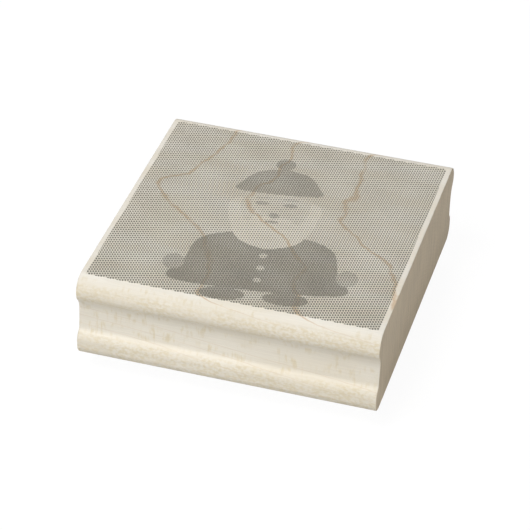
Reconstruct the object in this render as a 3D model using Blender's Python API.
"""Wood-mounted rubber stamp: a moulded maple grip block, a foam cushion and an engraved rubber die.

Frame, in metres: the origin is the centre of the die's printing face, +Z is up, and +X runs along the
moulding and the wood's grain. The two gripped sides face -Y (front) and +Y (back), and the ends at -X
and +X are saw cuts. From the printing face up, the stack is rubber die, adhesive film, foam cushion,
adhesive film and maple block.
"""

import math

import bmesh
import bpy

MM = 0.001

# Driving dimensions
BLOCK_LENGTH = 88.9 * MM  # along X: a 3 1/2 in cut of the moulding
BLOCK_HEIGHT = 27.0 * MM
NOSE_REACH = 47.5 * MM  # from the centre plane to the fullest point of either nose
DIE_SIDE = 73.0 * MM  # 2 7/8 in
RUBBER_THICKNESS = 2.3 * MM  # 0.090 in engraving rubber
FOAM_THICKNESS = 1.6 * MM  # 1/16 in mounting foam
FILM_THICKNESS = 0.25 * MM  # double-sided mounting film
GAP = 0.3 * MM  # between neighbours in the stack
END_BREAK = 0.35 * MM  # sanded edge round each saw-cut end

# Side moulding, from the top face down: upper nose, cove, groove, step, lower nose
UPPER_NOSE_RADIUS = 4.9 * MM  # from the top face to the fullest point
TUCK_RADIUS = 3.9 * MM  # where the upper nose turns back under itself
TUCK_ANGLE = math.radians(42)
GROOVE_REACH = 45.05 * MM  # from the centre plane to the groove's deepest line
GROOVE_RADIUS = 58 * MM  # its nearly straight stretch, which leans outwards going down
GROOVE_LEAN = math.radians(6.1)
STEP_FILLET_RADIUS = 1.8 * MM
STEP_SLOPE = math.radians(52)  # the step's steepest slope out to the lower nose, from upright
BOTTOM_EDGE_RADIUS = 4.0 * MM
ARC_STEP = math.radians(5)
SHARP_ANGLE = math.radians(30)  # edges sharper than this are not smooth-shaded

# Die
RELIEF_DEPTH = 1.1 * MM  # how deep the rubber is engraved
RELIEF_MARGIN = 1.0 * MM  # bare rubber round the picture field's tips
RELIEF_SHOULDER = 0.5 * MM  # how much further the field reaches at its foot, on each side
SHEET_CORNER_RADIUS = 2.0 * MM
CORNER_SEGMENTS = 8

# Levels of each piece's lower face, from the printing face up
LOWER_FILM_BASE = RUBBER_THICKNESS + GAP
FOAM_BASE = LOWER_FILM_BASE + FILM_THICKNESS + GAP
UPPER_FILM_BASE = FOAM_BASE + FOAM_THICKNESS + GAP
BLOCK_BASE = UPPER_FILM_BASE + FILM_THICKNESS + GAP


def clear_scene():
    for obj in list(bpy.data.objects):
        bpy.data.objects.remove(obj, do_unlink=True)


def material(name, color, roughness, metallic=0.0):
    made = bpy.data.materials.new(name)
    made.use_nodes = True
    shader = made.node_tree.nodes["Principled BSDF"]
    shader.inputs["Base Color"].default_value = (*color, 1.0)
    shader.inputs["Roughness"].default_value = roughness
    shader.inputs["Metallic"].default_value = metallic
    return made


def add_object(name, bm, made_of, base):
    """Turn a bmesh whose lower face is at its own zero level into an object standing at base."""
    bmesh.ops.recalc_face_normals(bm, faces=bm.faces[:])
    mesh = bpy.data.meshes.new(name)
    bm.to_mesh(mesh)
    bm.free()
    mesh.materials.append(made_of)
    obj = bpy.data.objects.new(name, mesh)
    obj.location.z = base
    bpy.context.scene.collection.objects.link(obj)
    return obj


def arc(centre, radius, start, end):
    """Points of an arc from angle start to angle end, both ends included."""
    count = max(2, math.ceil(abs(end - start) / ARC_STEP))
    angles = [start + (end - start) * i / count for i in range(count + 1)]
    return [(centre[0] + radius * math.cos(a), centre[1] + radius * math.sin(a)) for a in angles]


def side_outline():
    """One gripped side as (reach, height) points, from the top face down to the bottom face."""
    nose_height = BLOCK_HEIGHT - UPPER_NOSE_RADIUS
    upper = (NOSE_REACH - UPPER_NOSE_RADIUS, nose_height)
    outline = arc(upper, UPPER_NOSE_RADIUS, math.pi / 2, 0)
    outline += arc((NOSE_REACH - TUCK_RADIUS, nose_height), TUCK_RADIUS, 0, -TUCK_ANGLE)[1:]

    # The cove carries on from the tuck's slope, and ends upright at the groove's deepest line.
    reach, height = outline[-1]
    cove_radius = (reach - GROOVE_REACH) / (1 - math.cos(TUCK_ANGLE))
    height -= cove_radius * math.sin(TUCK_ANGLE)
    cove = (GROOVE_REACH + cove_radius, height)
    outline += arc(cove, cove_radius, math.pi - TUCK_ANGLE, math.pi)[1:]

    # The groove leans outwards, then a fillet turns it into the step.
    groove = (GROOVE_REACH + GROOVE_RADIUS, height)
    outline += arc(groove, GROOVE_RADIUS, math.pi, math.pi + GROOVE_LEAN)[1:]
    reach, height = outline[-1]
    fillet = (
        reach + STEP_FILLET_RADIUS * math.cos(GROOVE_LEAN),
        height + STEP_FILLET_RADIUS * math.sin(GROOVE_LEAN),
    )
    outline += arc(fillet, STEP_FILLET_RADIUS, math.pi + GROOVE_LEAN, math.pi + STEP_SLOPE)[1:]

    # The step's rounded shoulder ends upright, at the lower nose.
    reach, height = outline[-1]
    shoulder_radius = (NOSE_REACH - reach) / (1 - math.cos(STEP_SLOPE))
    height -= shoulder_radius * math.sin(STEP_SLOPE)
    outline += arc((NOSE_REACH - shoulder_radius, height), shoulder_radius, STEP_SLOPE, 0)[1:]

    bottom = (NOSE_REACH - BOTTOM_EDGE_RADIUS, BOTTOM_EDGE_RADIUS)
    return outline + arc(bottom, BOTTOM_EDGE_RADIUS, 0, -math.pi / 2)


def wood_block(maple):
    """The moulding's section, the same on both sides, extruded between the two saw cuts."""
    side = side_outline()
    section = side + [(-reach, height) for reach, height in reversed(side)]
    bm = bmesh.new()
    cut = bm.faces.new([bm.verts.new((-BLOCK_LENGTH / 2, y, z)) for y, z in section])
    swept = bmesh.ops.extrude_face_region(bm, geom=[cut])["geom"]
    far_end = [item for item in swept if isinstance(item, bmesh.types.BMVert)]
    bmesh.ops.translate(bm, verts=far_end, vec=(BLOCK_LENGTH, 0, 0))
    block = add_object("wood_block", bm, maple, BLOCK_BASE)
    block.data.shade_smooth()
    block.data.set_sharp_from_angle(angle=SHARP_ANGLE)

    edge_break = block.modifiers.new("sanded_ends", "BEVEL")
    edge_break.width = END_BREAK
    edge_break.segments = 2
    edge_break.limit_method = "ANGLE"
    edge_break.angle_limit = math.radians(60)
    edge_break.harden_normals = True


def rounded_square(side):
    """Outline of a centred square with round corners, anticlockwise."""
    centre = side / 2 - SHEET_CORNER_RADIUS
    outline = []
    for quarter in range(4):
        start = quarter * math.pi / 2
        across = math.copysign(centre, math.cos(start + math.pi / 4))
        along = math.copysign(centre, math.sin(start + math.pi / 4))
        for i in range(CORNER_SEGMENTS + 1):
            angle = start + math.pi / 2 * i / CORNER_SEGMENTS
            x = across + SHEET_CORNER_RADIUS * math.cos(angle)
            y = along + SHEET_CORNER_RADIUS * math.sin(angle)
            outline.append((x, y))
    return outline


def add_stack(bm, rings):
    """A closed body through rings of equal point counts, given as (outline, height) from the bottom up."""
    levels = [[bm.verts.new((x, y, height)) for x, y in outline] for outline, height in rings]
    for lower, upper in zip(levels, levels[1:]):
        for i, vert in enumerate(lower):
            following = (i + 1) % len(lower)
            bm.faces.new((vert, lower[following], upper[following], upper[i]))
    bm.faces.new(list(reversed(levels[0])))
    bm.faces.new(levels[-1])


def flat_sheet(name, base, thickness, made_of):
    """A plain layer, cut to the die's outline."""
    outline = rounded_square(DIE_SIDE)
    bm = bmesh.new()
    add_stack(bm, [(outline, 0), (outline, thickness)])
    add_object(name, bm, made_of, base)


def rubber_die(rubber):
    """The engraved sheet: a thin floor, and the raised picture field whose tips print."""
    tips_side = DIE_SIDE - 2 * RELIEF_MARGIN
    tips = rounded_square(tips_side)
    foot = rounded_square(tips_side + 2 * RELIEF_SHOULDER)
    whole = rounded_square(DIE_SIDE)
    bm = bmesh.new()
    rings = [(tips, 0), (foot, RELIEF_DEPTH), (whole, RELIEF_DEPTH), (whole, RUBBER_THICKNESS)]
    add_stack(bm, rings)
    add_object("rubber_die", bm, rubber, 0)


def main():
    clear_scene()
    maple = material("maple", (0.80, 0.72, 0.59), 0.6)
    foam = material("foam", (0.72, 0.72, 0.70), 0.95)
    adhesive = material("adhesive", (0.86, 0.83, 0.74), 0.35)
    rubber = material("rubber", (0.36, 0.36, 0.37), 0.7)

    wood_block(maple)
    flat_sheet("upper_adhesive_film", UPPER_FILM_BASE, FILM_THICKNESS, adhesive)
    flat_sheet("foam_cushion", FOAM_BASE, FOAM_THICKNESS, foam)
    flat_sheet("lower_adhesive_film", LOWER_FILM_BASE, FILM_THICKNESS, adhesive)
    rubber_die(rubber)


main()
